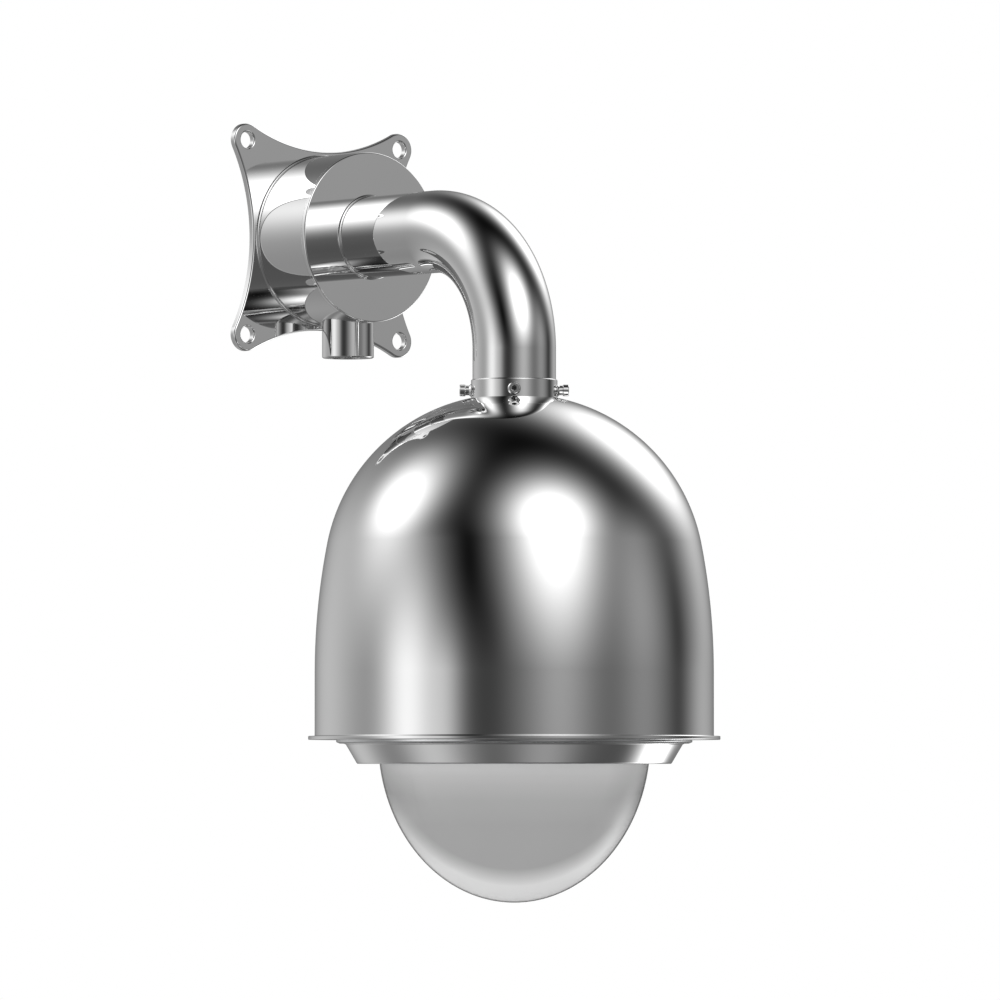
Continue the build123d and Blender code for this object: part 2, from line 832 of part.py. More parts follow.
def tilt_bush():
    """Flanged bush in the other arm"""
    bore = tilt_shaft_radius + running_gap
    return on_tilt_axis(
        outline(
            (bore, -yoke_inner_half_width),
            (tilt_seat_radius, -yoke_inner_half_width),
            (tilt_seat_radius, -yoke_outer_half_width),
            (tilt_bush_flange_radius, -yoke_outer_half_width),
            (tilt_bush_flange_radius, -yoke_outer_half_width - tilt_bush_flange),
            (bore, -yoke_outer_half_width - tilt_bush_flange),
        )
    )


def tilt_shafts():
    """Stub shafts on both sides of the camera block, shouldered just inside the arms"""
    shoulder = yoke_inner_half_width - end_gap
    end = yoke_outer_half_width + tilt_shaft_end
    short_end = yoke_outer_half_width + tilt_bush_flange
    shafts = [
        on_tilt_axis(
            outline(
                (0, side * camera_half_width),
                (tilt_shaft_collar_radius, side * camera_half_width),
                (tilt_shaft_collar_radius, side * shoulder),
                (tilt_shaft_radius, side * shoulder),
                (tilt_shaft_radius, side * reach),
                (0, side * reach),
            )
        )
        for side, reach in ((1, end), (-1, short_end))
    ]
    return group(shafts)


# Camera block


def block(half_width, height, length, front):
    """Round-cornered block along the viewing direction, from its front face backwards"""
    face = RectangleRounded(2 * half_width, height, camera_corner)
    solid = Rot(90, 0, 0) * extrude(face, -length)
    return dome_axis * Pos(0, front, tilt_height) * solid


def camera_case():
    """Camera body with cooling grooves across its top"""
    case = block(camera_half_width, camera_height, camera_length, -camera_length / 2)
    groove = Box(3 * camera_half_width, camera_groove_width, 2 * camera_groove_depth)
    first = -camera_groove_pitch * (camera_groove_count - 1) / 2
    top = tilt_height + camera_height / 2
    places = [Pos(0, first + camera_groove_pitch * index, top) for index in range(camera_groove_count)]
    return case - [dome_axis * place * groove for place in places]


def case_back():
    """Rear cover of the camera body with a bevelled edge"""
    cover = block(camera_half_width, camera_height, case_back_thickness, camera_length / 2)
    return chamfer(cover.faces().sort_by(Axis.Y)[-1].edges(), camera_edge)


def front_ring():
    """Front plate of the camera body round the lens barrel"""
    front = -camera_length / 2 - front_ring_thickness
    inset = front_ring_inset
    plate = block(camera_half_width - inset, camera_height - 2 * inset, front_ring_thickness, front)
    barrel_hole = Rot(90, 0, 0) * Cylinder(lens_barrel_radius, 4 * camera_length)
    return plate - dome_axis * Pos(0, 0, tilt_height) * barrel_hole


def along_view(face):
    """Turn a face drawn as (radius, distance ahead of the tilt axis) about the line of sight"""
    return dome_axis * Pos(0, 0, tilt_height) * Rot(180, 0, 0) * revolve(face, Axis.Y)


def lens_barrel():
    """Open lens tube that starts on the camera body's face"""
    face = camera_length / 2
    tip = face + front_ring_thickness + lens_barrel_reach
    bore = lens_barrel_radius - lens_barrel_wall
    return along_view(
        outline(
            (0, face),
            (lens_barrel_radius, face),
            (lens_barrel_radius, tip),
            (bore, tip),
            (bore, face + lens_barrel_seat),
            (0, face + lens_barrel_seat),
        )
    )


def lens_glass():
    """Front lens, flat behind and domed ahead, set back in its tube"""
    radius = lens_barrel_radius - lens_barrel_wall
    back = camera_length / 2 + lens_barrel_seat
    edge = back + lens_glass_edge
    peak = edge + lens_glass_bulge
    chord = sqrt(radius**2 + lens_glass_bulge**2)
    ball = chord**2 / (2 * lens_glass_bulge)
    half = asin(radius / ball) / 2
    dome = ThreePointArc((radius, edge), (ball * sin(half), peak - ball * (1 - cos(half))), (0, peak))
    sides = Polyline((0, peak), (0, back), (radius, back), (radius, edge))
    return along_view(make_face([dome, *sides.edges()]))


nodes = [
    wall_plate,
    plate_weld,
    drum_shell,
    drum_face,
    conduit_hub,
    arm_weld,
    gooseneck_arm,
    arm_spigot,
    spigot_seal,
    collar,
    lock_screws,
    shroud,
    crown_doubler,
    hanger_posts,
    chassis_plate,
    chassis_screws,
    ring_posts,
    ring_post_screws,
    pan_motor,
    slip_ring,
    control_board,
    board_standoffs,
    board_screws,
    base_ring,
    skirt_seal,
    bezel_ring,
    bezel_screws,
    bubble_seal,
    bubble,
    pan_bearing,
    pan_turntable,
    yoke,
    yoke_screws,
    tilt_motor,
    tilt_bush,
    tilt_shafts,
    camera_case,
    case_back,
    front_ring,
    lens_barrel,
    lens_glass,
]

os.makedirs("parts", exist_ok=True)
for node in nodes:
    export_step(node(), f"parts/{node.__name__}.step")
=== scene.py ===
import json
from math import atan2, ceil, cos, pi, radians, sin, sqrt, tan

import bpy
from mathutils import Matrix, Vector
from mathutils.geometry import tessellate_polygon


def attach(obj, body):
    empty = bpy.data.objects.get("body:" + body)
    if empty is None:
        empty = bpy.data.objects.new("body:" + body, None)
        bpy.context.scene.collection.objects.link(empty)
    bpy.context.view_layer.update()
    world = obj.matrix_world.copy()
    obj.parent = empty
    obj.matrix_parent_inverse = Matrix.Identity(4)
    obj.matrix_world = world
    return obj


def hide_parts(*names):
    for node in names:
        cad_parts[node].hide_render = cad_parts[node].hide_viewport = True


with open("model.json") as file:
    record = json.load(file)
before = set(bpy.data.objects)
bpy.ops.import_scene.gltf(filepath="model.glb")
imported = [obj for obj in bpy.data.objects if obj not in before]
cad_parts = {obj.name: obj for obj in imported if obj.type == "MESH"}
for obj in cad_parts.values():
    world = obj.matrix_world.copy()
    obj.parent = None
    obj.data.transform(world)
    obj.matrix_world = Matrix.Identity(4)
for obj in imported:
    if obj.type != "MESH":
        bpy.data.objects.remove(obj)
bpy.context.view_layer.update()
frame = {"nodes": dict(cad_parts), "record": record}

joint_place = {joint["name"]: joint["pos_m"] for joint in frame["record"]["behaviour"]["joints"]}
slot_of = {subpart["node"]: subpart["material_slot"] for subpart in frame["record"]["subparts"]}

# Units in metres
MM = 0.001
MICRON = 0.000001

# Arm and its collar, in millimetres. Heights are counted from the arm's axis, distances from the wall.
ARM_REACH = -joint_place["pan"][1] / MM
ARM_RADIUS = 25.1
ARM_BORE = 23.1
BEND_RADIUS = 75.0
BEND_START = ARM_REACH - BEND_RADIUS
QUARTER_TURN = radians(90.0)
COLLAR_RADIUS = 26.0
COLLAR_BORE = 22.05
COLLAR_TOP = -93.2
COLLAR_BOTTOM = -114.4
COLLAR_ROUND = 0.7

# Wall plate, drum and hub, in millimetres
PLATE_THICKNESS = 4.2
PLATE_SIDE_RADIUS = 120.0
PLATE_ROUND = 1.1
EAR_PLACE = 60.0
EAR_RADIUS = 10.1
BOLT_HOLE_RADIUS = 5.0
WIRE_OPENING_RADIUS = 40.0
BACK_ROUND = 0.2
DRUM_RADIUS = 52.4
COVER_BACK = 47.9
COVER_FACE = 50.9
COVER_ROUND = 0.9
HUB_PLACE = 27.9
WELD_LEG = 1.2
WELD_ROUND = 0.15

# Bell, in millimetres: a crown arc, a shoulder arc and a straight skirt, each tangent to the next
BELL_RADIUS = 119.8
BELL_SHEET = 1.5
BELL_BORE = BELL_RADIUS - BELL_SHEET
CROWN_RADIUS = 110.7
CROWN_CENTRE = (3.7, -212.7)
ARCS_MEET = (112.38, -191.65)
SHOULDER_CENTRE = (-287.2, -269.01)
FLANGE_RADIUS = 123.7
FLANGE_TOP = -307.3
FLANGE_BOTTOM = -309.6
FLANGE_ROUND = 0.5

# Base ring, in millimetres
RING_BORE = 80.0
SEAL_LAND_RADIUS = 85.7
SEAL_LAND = -315.5
STEP_RADIUS = 106.9
STEP_BOTTOM = -311.9
STEP_SLANT_WIDTH = 2.1
STEP_SLANT_HEIGHT = 0.9
STEP_ROUND = 0.4
RIM_RADIUS = 109.8
RIM_TOP = -298.0
WEB_TOP = -304.0
GROOVE_TOP = -303.8
GROOVE_BOTTOM = -306.4
GROOVE_DEPTH = 1.5

# Bubble, in millimetres
BUBBLE_CENTRE = FLANGE_BOTTOM
BUBBLE_RADIUS = 81.7
BUBBLE_DROP = 97.6
BUBBLE_WALL = 3.0
BUBBLE_BOTTOM = BUBBLE_CENTRE - BUBBLE_DROP
BUBBLE_FLANGE_RADIUS = 86.0
BUBBLE_FLANGE_TOP = -318.0
BUBBLE_FLANGE_BOTTOM = -321.0
BUBBLE_ROUND = 0.2
BUBBLE_TONE_TOP = -317.0
RIM_LIGHT_TOP = -341.5
RIM_LIGHT_FADE = 1.5

# Fineness of the meshes, and the small rounds that only keep an edge from being sharp
CRISP = 0.1
PLAIN_ROUND = 0.3
FINE_TURN = radians(1.0)
ROUND_STEP = radians(18.0)
TANGENT = radians(0.5)
ROUND_ROOM = 0.45
ARM_STEP = 1.5
ARM_BORE_STEP = 3.0
BELL_SEGMENTS = 288
BUBBLE_SEGMENTS = 216
DRUM_SEGMENTS = 192
TUBE_SEGMENTS = 144
OPENING_SEGMENTS = 120
HOLE_SEGMENTS = 48
EAR_SEGMENTS = 40
BACK_STEPS = 2
FRONT_STEPS = 6

# The photograph's camera, fitted to measured points
VIEW_TURN = radians(-39.804)
VIEW_DISTANCE = 4.576362
VIEW_TARGET_Y = -0.188272
VIEW_HEIGHT = -0.328432
VIEW_PITCH = radians(2.038)
VIEW_YAW = radians(0.107)
LENS_MM = 274.36
SENSOR_MM = 36.0
NEAREST_SEEN = 0.01
FARTHEST_SEEN = 100.0

# Studio lamps as the bell shows them: turn from the camera, height and size in degrees, and strength.
# Glows light the object from under it, and flags take light away.
LAMPS = {
    "left softbox": (-91.6, 35.7, 19.8, 1.61),
    "front softbox": (26.6, 33.5, 21.8, 2.04),
    "rear softbox": (145.6, 34.3, 19.9, 1.80),
    "left window": (-63.2, -3.1, 18.1, 0.88),
    "left window's middle": (-39.8, -4.6, 10.1, 0.36),
    "left rear wall": (-131.5, 4.4, 34.9, 0.39),
    "front fill": (25.0, -0.3, 14.9, 0.056),
    "right fill": (79.7, 10.9, 17.8, 0.222),
    "rear fill": (150.0, 0.1, 20.7, 0.13),
    "left flag": (-25.8, 13.4, 15.2, -0.045),
    "front flag": (-10.5, 7.2, 10.1, -0.033),
    "right flag": (109.5, 4.6, 8.8, -0.047),
    "left glow": (-77.0, -48.0, 20.0, 0.43),
    "front glow": (31.0, -57.0, 18.0, 0.22),
    "right glow": (133.0, -25.0, 14.5, 2.70),
    "rear glow": (-150.0, -24.0, 20.0, 0.20),
}
STEEL_REFLECTANCE = 0.80
HORIZON_STRENGTH = 0.0676
HORIZON_SIZE = radians(21.3)
GROUND_STRENGTH = 0.07
GROUND_EDGE = radians(-25.0)
SOFT_FILL = 0.72
ALMOST_ONE = 0.999999

# Stage, in metres
STAGE_CENTRE = Vector((0.0, -0.1883, -0.2000))
STUDIO_RADIUS = 12.0
FLOOR_HEIGHT = -1.15
FLOOR_RADIUS = 4.0
FLOOR_FADE_START = 2.2
FLOOR_FADE_END = 3.92


# Node helpers


def new_material(name):
    """Empty node material"""
    material = bpy.data.materials.new(name)
    material.use_nodes = True
    material.node_tree.nodes.clear()
    return material


def add(tree, kind, inputs=None, **settings):
    """One shader node, its inputs given as values or as other nodes' outputs"""
    node = tree.nodes.new("ShaderNode" + kind)
    for key, value in settings.items():
        setattr(node, key, value)
    for key, value in (inputs or {}).items():
        if isinstance(value, bpy.types.NodeSocket):
            tree.links.new(value, node.inputs[key])
        else:
            node.inputs[key].default_value = value
    return node


def math(tree, operation, first, second=0.0):
    """Output of one math node"""
    return add(tree, "Math", {0: first, 1: second}, operation=operation).outputs[0]


def plus(tree, first, second):
    """Sum of two values"""
    return math(tree, "ADD", first, second)


def times(tree, first, second):
    """Product of two values"""
    return math(tree, "MULTIPLY", first, second)


def vector_math(tree, operation, first, second=(0.0, 0.0, 0.0), output="Vector"):
    """Output of one vector math node"""
    return add(tree, "VectorMath", {0: first, 1: second}, operation=operation).outputs[output]


def spread(tree, value, low, high, start=0.0, end=1.0):
    """Value carried from one range to another, clamped"""
    inputs = {"Value": value, "From Min": start, "From Max": end, "To Min": low, "To Max": high}
    return add(tree, "MapRange", inputs).outputs["Result"]


def noise(tree, vector, scale, detail=3.0, roughness=0.5):
    """Noise factor at so many features a metre"""
    inputs = {"Vector": vector, "Scale": scale, "Detail": detail, "Roughness": roughness}
    return add(tree, "TexNoise", inputs).outputs[0]


def blended(tree, first, second, share):
    """Two noises added up, the first with the given share"""
    return plus(tree, times(tree, first, share), times(tree, second, 1.0 - share))


def uneven(tree, fac, levels):
    """Level between two that follows the middle of a noise"""
    return spread(tree, fac, levels[0], levels[1], 0.3, 0.7)


def grey(level):
    """Neutral tone"""
    return (level, level, level)


def two_tones(tree, share, first, second):
    """Colour between two tones"""
    node = add(tree, "Mix", {"Factor": share}, data_type="RGBA")
    node.inputs[6].default_value = (*first, 1.0)
    node.inputs[7].default_value = (*second, 1.0)
    return node.outputs[2]


def toned(tree, colour, tone, share):
    """Colour carried towards a plain tone"""
    node = add(tree, "Mix", {"Factor": share}, data_type="RGBA")
    tree.links.new(colour, node.inputs[6])
    node.inputs[7].default_value = (*tone, 1.0)
    return node.outputs[2]


def soft_edge(tree, radius, samples):
    """Normal that is rounded near edges"""
    return add(tree, "Bevel", {"Radius": radius}, samples=samples).outputs[0]


def bump(tree, height, depth, normal=None):
    """Normal disturbed by a height of so many metres"""
    inputs = {"Height": height, "Strength": 1.0, "Distance": depth}
    if normal is not None:
        inputs["Normal"] = normal
    return add(tree, "Bump", inputs).outputs[0]


def object_place(tree):
    """Position on the piece"""
    return add(tree, "TexCoord").outputs["Object"]


def turned_place(tree, centre, up):
    """Position on a turned piece as (radius, height, a little of the angle)"""
    place = vector_math(tree, "SUBTRACT", object_place(tree), centre)
    parts = add(tree, "SeparateXYZ", {"Vector": place}).outputs
    across = [parts[index] for index in range(3) if "XYZ"[index] != up]
    height = parts["XYZ".index(up)]
    radius = math(tree, "SQRT", plus(tree, *(times(tree, part, part) for part in across)))
    angle = math(tree, "ARCTAN2", *across)
    return add(tree, "CombineXYZ", {0: radius, 1: height, 2: times(tree, angle, ANGLE_SHARE)}).outputs[0]


def finish_material(material, shader):
    """Join a shader to the material's output"""
    add(material.node_tree, "OutputMaterial", {"Surface": shader})
    return material


def principled(material, inputs):
    """Finish a material with one principled shader"""
    return finish_material(material, add(material.node_tree, "BsdfPrincipled", inputs).outputs[0])


# Metals

ANGLE_SHARE = 0.004
CLOUD_SCALE = 24.0
RIPPLE_SCALE = 18.0
WORN_SHARE = 0.965
# Painted shade laid into recesses
RECESS_SHADE = grey(0.03)
DULL_INSIDE = 0.34
INSIDE_FADE = 0.2 * MM


def recess_shade_share(tree, reach):
    """Share of painted shade that grows in recesses narrower than a reach"""
    open_share = add(tree, "AmbientOcclusion", {"Distance": reach}, samples=4).outputs["AO"]
    return spread(tree, open_share, 1.0, 0.0, 0.35, 0.75)


def on_the_inside(tree, place, radius, height):
    """Share that is one within a radius and above a height of a turned piece"""
    parts = add(tree, "SeparateXYZ", {"Vector": place}).outputs
    within = spread(tree, parts["X"], 1.0, 0.0, radius, radius + INSIDE_FADE)
    above = spread(tree, parts["Y"], 0.0, 1.0, height, height + INSIDE_FADE)
    return times(tree, within, above)


def metal(
    name,
    tone,
    roughness,
    place=None,
    lines=0.0,
    wave=0.0,
    edge=0.3 * MM,
    grain=900.0,
    shade_reach=0.0,
    inside=None,
):
    """Metal with uneven polish, fine tool lines and soft edges, with painted shade in its recesses and
    dull inside
    """
    material = new_material(name)
    tree = material.node_tree
    where = object_place(tree)
    marks = turned_place(tree, *place) if place else where
    clouds = noise(tree, where, CLOUD_SCALE, 4.0)
    fine = noise(tree, marks, grain, 4.0, 0.6)
    colour = two_tones(tree, clouds, tone, [channel * WORN_SHARE for channel in tone])
    # Painted shade: the colour darkens where ambient occlusion finds a recess
    if shade_reach:
        colour = toned(tree, colour, RECESS_SHADE, recess_shade_share(tree, shade_reach))
    rough = uneven(tree, blended(tree, clouds, fine, 0.6), roughness)
    if inside:
        rough = plus(tree, rough, times(tree, on_the_inside(tree, marks, *inside), DULL_INSIDE))
    start = soft_edge(tree, edge, 8) if edge else None
    rippled = bump(tree, noise(tree, where, RIPPLE_SCALE, 1.0), wave, start)
    inputs = {
        "Base Color": colour,
        "Metallic": 1.0,
        "Roughness": rough,
        "Normal": bump(tree, fine, lines, rippled),
    }
    return principled(material, inputs)


# Other materials

COATING_CLOUDS = 60.0
COATING_EDGE = 0.4 * MM
BOARD_MASK = (0.012, 0.085, 0.030)
BOARD_TRACK = (0.030, 0.160, 0.060)
BOARD_TIN = (0.62, 0.60, 0.56)
# Painted light on the bubble: grey tones by depth below its clamp, and the tones of its painted side
# shade, painted rim light and painted outline shade
BUBBLE_LIGHT_TONES = ((0.09, 0.66), (0.16, 0.517), (0.22, 0.455), (0.32, 0.384), (0.48, 0.347), (1.0, 0.355))
BUBBLE_SIDE_SHADE = grey(0.0)
BUBBLE_RIM_LIGHT = grey(0.68)
BUBBLE_OUTLINE_SHADE = grey(0.04)

# Shares of the bubble's turning away from the eye, and of its depth, over which its painted shade, painted
# rim light and painted outline shade change
DARK_SIDE_LEVEL = 0.47
DARK_SIDE_TURN = (0.3, 0.9)
DARK_SIDE_DEPTH = (0.28, 0.44)
RIM_LIGHT_LEAN = 0.634
RIM_LIGHT_TURN = (0.817, 1.06)
RIM_LIGHT_LEVEL = 0.12
RIM_LIGHT_DEPTH = (0.38, 0.78)
OUTLINE_TURN = (0.82, 0.92)


def coated(name, tone, other, roughness, grain, depth, coat=0.0):
    """Paint, plastic or rubber with a fine surface texture and uneven tone"""
    material = new_material(name)
    tree = material.node_tree
    where = object_place(tree)
    fine = noise(tree, where, grain, 3.0, 0.6)
    both = blended(tree, noise(tree, where, COATING_CLOUDS, 4.0), fine, 0.7)
    inputs = {
        "Base Color": two_tones(tree, both, tone, other),
        "Roughness": uneven(tree, both, roughness),
        "Coat Weight": coat,
        "Coat Roughness": 0.08,
        "Normal": bump(tree, fine, depth, soft_edge(tree, COATING_EDGE, 4)),
    }
    return principled(material, inputs)


def circuit_board(name):
    """Green board with copper tracks under the mask and tinned pads"""
    material = new_material(name)
    tree = material.node_tree
    where = object_place(tree)
    grid = {"Vector": where, "Scale": 260.0, "Randomness": 0.2}
    cells = add(tree, "TexVoronoi", grid, distance="CHEBYCHEV")
    tracks = add(tree, "TexBrick", {"Vector": where, "Scale": 90.0, "Mortar Size": 0.03})
    on_track = spread(tree, tracks.outputs["Fac"], 0.0, 1.0, 0.3, 0.6)
    pad = spread(tree, cells.outputs["Distance"], 1.0, 0.0, 0.10, 0.16)
    inputs = {
        "Base Color": toned(tree, two_tones(tree, on_track, BOARD_MASK, BOARD_TRACK), BOARD_TIN, pad),
        "Metallic": pad,
        "Roughness": spread(tree, pad, 0.38, 0.25),
        "Normal": bump(tree, plus(tree, on_track, pad), 40 * MICRON),
    }
    return principled(material, inputs)


def painted_light_tone(tree, bubble_depth):
    """Painted light on the bubble's grey plastic, from its clamped edge down to its bottom: pale under the
    clamp, darker lower down
    """
    ramp = add(tree, "ValToRGB", {"Fac": bubble_depth})
    stops = ramp.color_ramp.elements
    for index, (spot, level) in enumerate(BUBBLE_LIGHT_TONES):
        stop = stops[index] if index < 2 else stops.new(spot)
        stop.position = spot
        stop.color = (*grey(level), 1.0)
    return ramp.outputs["Color"]


def bubble_plastic(name):
    """Blown grey plastic with painted light: paler under its clamp, painted shade on its upper sides, a
    painted rim light towards its lower rim and a thin painted shade along its outline
    """
    material = new_material(name)
    tree = material.node_tree
    where = object_place(tree)
    height = add(tree, "SeparateXYZ", {"Vector": where}).outputs["Z"]
    # Depth below the clamp, which sets the bubble's painted light tone
    bubble_depth = spread(tree, height, 0.0, 1.0, BUBBLE_TONE_TOP * MM, BUBBLE_BOTTOM * MM)
    facing = add(tree, "LayerWeight", {"Blend": 0.5}).outputs["Facing"]
    # Painted shade on the upper sides as they turn away from the eye
    painted_side_shade = spread(tree, facing, 0.0, DARK_SIDE_LEVEL, *DARK_SIDE_TURN)
    painted_side_shade = times(tree, painted_side_shade, spread(tree, bubble_depth, 1.0, 0.0, *DARK_SIDE_DEPTH))
    # Painted rim light low on the sides, stronger towards the bottom
    towards_rim = plus(tree, facing, times(tree, bubble_depth, RIM_LIGHT_LEAN))
    light_end = RIM_LIGHT_TOP - RIM_LIGHT_FADE
    low_part = spread(tree, height, 0.0, 1.0, RIM_LIGHT_TOP * MM, light_end * MM)
    rim_light = times(tree, spread(tree, towards_rim, 0.0, 1.0, *RIM_LIGHT_TURN), low_part)
    rim_light = times(tree, rim_light, spread(tree, bubble_depth, RIM_LIGHT_LEVEL, 1.0, *RIM_LIGHT_DEPTH))
    colour = toned(tree, painted_light_tone(tree, bubble_depth), BUBBLE_SIDE_SHADE, painted_side_shade)
    colour = toned(tree, colour, BUBBLE_RIM_LIGHT, rim_light)
    # Painted shade along the outline, where the surface turns edge-on
    inputs = {
        "Base Color": toned(tree, colour, BUBBLE_OUTLINE_SHADE, spread(tree, facing, 0.0, 1.0, *OUTLINE_TURN)),
        "Roughness": uneven(tree, noise(tree, where, 900.0, 3.0), (0.10, 0.14)),
        "Specular IOR Level": 0.08,
        "Normal": bump(tree, noise(tree, where, 30.0, 1.0), 40 * MICRON),
    }
    return principled(material, inputs)


def coated_glass(name):
    """Dark lens glass, with the violet reflection of its coating painted into the colour towards its edges
    """
    material = new_material(name)
    tree = material.node_tree
    facing = add(tree, "LayerWeight", {"Blend": 0.35}).outputs["Facing"]
    dust = noise(tree, object_place(tree), 1400.0, 2.0)
    # Painted reflection: violet tint where the glass turns edge-on
    inputs = {
        "Base Color": two_tones(tree, facing, (0.010, 0.012, 0.030), (0.060, 0.030, 0.090)),
        "Roughness": uneven(tree, dust, (0.02, 0.06)),
        "IOR": 1.52,
        "Coat Weight": 1.0,
        "Coat Roughness": 0.02,
    }
    return principled(material, inputs)


# Materials of the slots and nodes

ON_DOME = ((0.0, -ARM_REACH * MM, 0.0), "Z")
ON_ARM = ((0.0, 0.0, 0.0), "Y")
ON_HUB = ((0.0, -HUB_PLACE * MM, 0.0), "Z")
ON_TILT = (tuple(joint_place["tilt"]), "X")
STEEL = grey(0.80)
# Painted light: the flat plate and cover get a paler copy of the same steel so they look brighter under
# the studio's light
FLAT_STEEL = grey(0.87)
PALE_STEEL = (0.720, 0.715, 0.705)
SHEET = (0.700, 0.705, 0.710)
BRASS = (0.760, 0.560, 0.250)
MIRROR = (0.018, 0.036)

# Depths of the polish's fine lines and of the slow ripple under it
POLISH = 0.8 * MICRON
RIPPLE = 10 * MICRON

# Insides that stay dull: within a radius of a piece's axis and above a height along it
ALL_HEIGHTS = -1.0
DRUM_INSIDE = (50.0 * MM, ALL_HEIGHTS)
COVER_INSIDE = (51.5 * MM, -48.6 * MM)
HUB_INSIDE = (12.2 * MM, ALL_HEIGHTS)
PLATE_INSIDE = (40.2 * MM, ALL_HEIGHTS)

bell_steel = metal("bell_steel", STEEL, MIRROR, ON_DOME, POLISH, 2 * RIPPLE, edge=0.0)
ring_steel = metal("ring_steel", STEEL, (0.020, 0.040), ON_DOME, POLISH, RIPPLE, edge=0.9 * MM)
arm_steel = metal("arm_steel", STEEL, MIRROR, None, POLISH, RIPPLE, edge=0.0)
wall_steel = metal("wall_steel", STEEL, MIRROR, ON_ARM, POLISH, RIPPLE, inside=DRUM_INSIDE)
cover_steel = metal(
    "cover_steel", FLAT_STEEL, MIRROR, ON_ARM, POLISH / 2, RIPPLE, edge=0.0, inside=COVER_INSIDE
)
hub_steel = metal("hub_steel", STEEL, MIRROR, ON_HUB, POLISH, RIPPLE, inside=HUB_INSIDE)
plate_steel = metal(
    "plate_steel", FLAT_STEEL, (0.020, 0.045), ON_ARM, 0.6 * MICRON, RIPPLE, edge=0.0, inside=PLATE_INSIDE
)
weld_steel = metal("weld_steel", STEEL, (0.03, 0.07), lines=4 * MICRON, edge=0.0, grain=700.0)
# The screws carry painted shade in their sockets and at their joints
screw_steel = metal(
    "screw_steel", STEEL, (0.03, 0.06), lines=2 * MICRON, edge=0.2 * MM, grain=2400.0, shade_reach=3 * MM
)
turned_steel = metal("turned_steel", PALE_STEEL, (0.16, 0.28), ON_DOME, 8 * MICRON, grain=2600.0)
shaft_steel = metal("shaft_steel", PALE_STEEL, (0.14, 0.24), ON_TILT, 6 * MICRON, grain=2600.0)
ring_metal = metal("ring_metal", SHEET, (0.14, 0.22), ON_DOME, 5 * MICRON, grain=2600.0)
frame_metal = metal("frame_metal", SHEET, (0.22, 0.38), lines=8 * MICRON, grain=1800.0)
brass = metal("brass", BRASS, (0.18, 0.30), lines=8 * MICRON, grain=2400.0)
rubber = coated("rubber", grey(0.020), (0.034, 0.034, 0.033), (0.50, 0.68), 2200.0, 30 * MICRON)
motor_enamel = coated(
    "motor_enamel", (0.018, 0.018, 0.020), (0.030, 0.030, 0.032), (0.28, 0.40), 1500.0, 20 * MICRON, 0.4
)
moulded_black = coated(
    "moulded_black", (0.022, 0.022, 0.024), (0.036, 0.036, 0.038), (0.42, 0.56), 2600.0, 40 * MICRON
)
powder_coat = coated(
    "powder_coat", (0.060, 0.064, 0.070), (0.080, 0.084, 0.090), (0.40, 0.55), 3000.0, 60 * MICRON
)

by_slot = {
    "polished_steel": bell_steel,
    "weld_bead": weld_steel,
    "screw_steel": screw_steel,
    "turned_steel": turned_steel,
    "satin_ring": ring_metal,
    "seal_rubber": rubber,
    "bubble_plastic": bubble_plastic("bubble_grey"),
    "frame_metal": frame_metal,
    "motor_case": motor_enamel,
    "moulded_black": moulded_black,
    "board_green": circuit_board("board_green"),
    "brass_parts": brass,
    "camera_paint": powder_coat,
    "lens_glass": coated_glass("lens_glass"),
}
by_node = {
    "wall_plate": plate_steel,
    "drum_shell": wall_steel,
    "drum_face": cover_steel,
    "conduit_hub": hub_steel,
    "bezel_ring": ring_steel,
    "gooseneck_arm": arm_steel,
    "tilt_shafts": shaft_steel,
}
material_of = {node: by_node.get(node, by_slot[slot]) for node, slot in slot_of.items()}
for node, material in material_of.items():
    piece = frame["nodes"][node]
    piece.data.materials.clear()
    piece.data.materials.append(material)


# Sections of turned and bent pieces


def corner(x, y, rounding=PLAIN_ROUND, centre=None, axes=None, step=None):
    """Corner of a section, with the run that leaves it: a line, or an arc of a circle or ellipse"""
    place = Vector((x, y))
    if centre is not None:
        centre = Vector(centre)
        axes = axes or ((place - centre).length,) * 2
    return {"place": place, "rounding": rounding, "centre": centre, "axes": axes, "step": step}


def left_of(way):
    """Direction to the left of another in the section's plane"""
    return Vector((-way.y, way.x))


def on_unit_circle(place, run):
    """Point of an arc carried to the unit circle"""
    away = place - run["centre"]
    return Vector((away.x / run["axes"][0], away.y / run["axes"][1]))


def arc_point(run, angle, side):
    """Point of an arc and the direction in which it is followed"""
    wide, high = run["axes"]
    place = run["centre"] + Vector((wide * cos(angle), high * sin(angle)))
    return place, side * Vector((-wide * sin(angle), high * cos(angle))).normalized()


def arc_span(run, end):
    """Start angle of an arc, the angle that it sweeps and the sign of that"""
    first = on_unit_circle(run["place"], run)
    last = on_unit_circle(end, run)
    sweep = atan2(first.cross(last), first.dot(last))
    return atan2(first.y, first.x), sweep, 1.0 if sweep > 0.0 else -1.0


def run_ways(run, end):
    """Directions of a run at its two ends"""
    if run["centre"] is None:
        way = (end - run["place"]).normalized()
        return way, way
    start, sweep, side = arc_span(run, end)
    return arc_point(run, start, side)[1], arc_point(run, start + sweep, side)[1]


def run_points(run, end, near, far):
    """Points along a run with their directions, clear of its rounded ends"""
    if run["centre"] is None:
        way = (end - run["place"]).normalized()
        length = (end - run["place"]).length - near - far
        pieces = ceil(length / run["step"]) if run["step"] else 1
        return [(run["place"] + way * (near + length * index / pieces), way) for index in range(1, pieces)]
    start, sweep, side = arc_span(run, end)
    size = sum(run["axes"]) / 2
    low = start + side * near / size
    high = start + sweep - side * far / size
    pieces = ceil(abs(high - low) / FINE_TURN)
    return [arc_point(run, low + (high - low) * index / pieces, side) for index in range(1, pieces)]


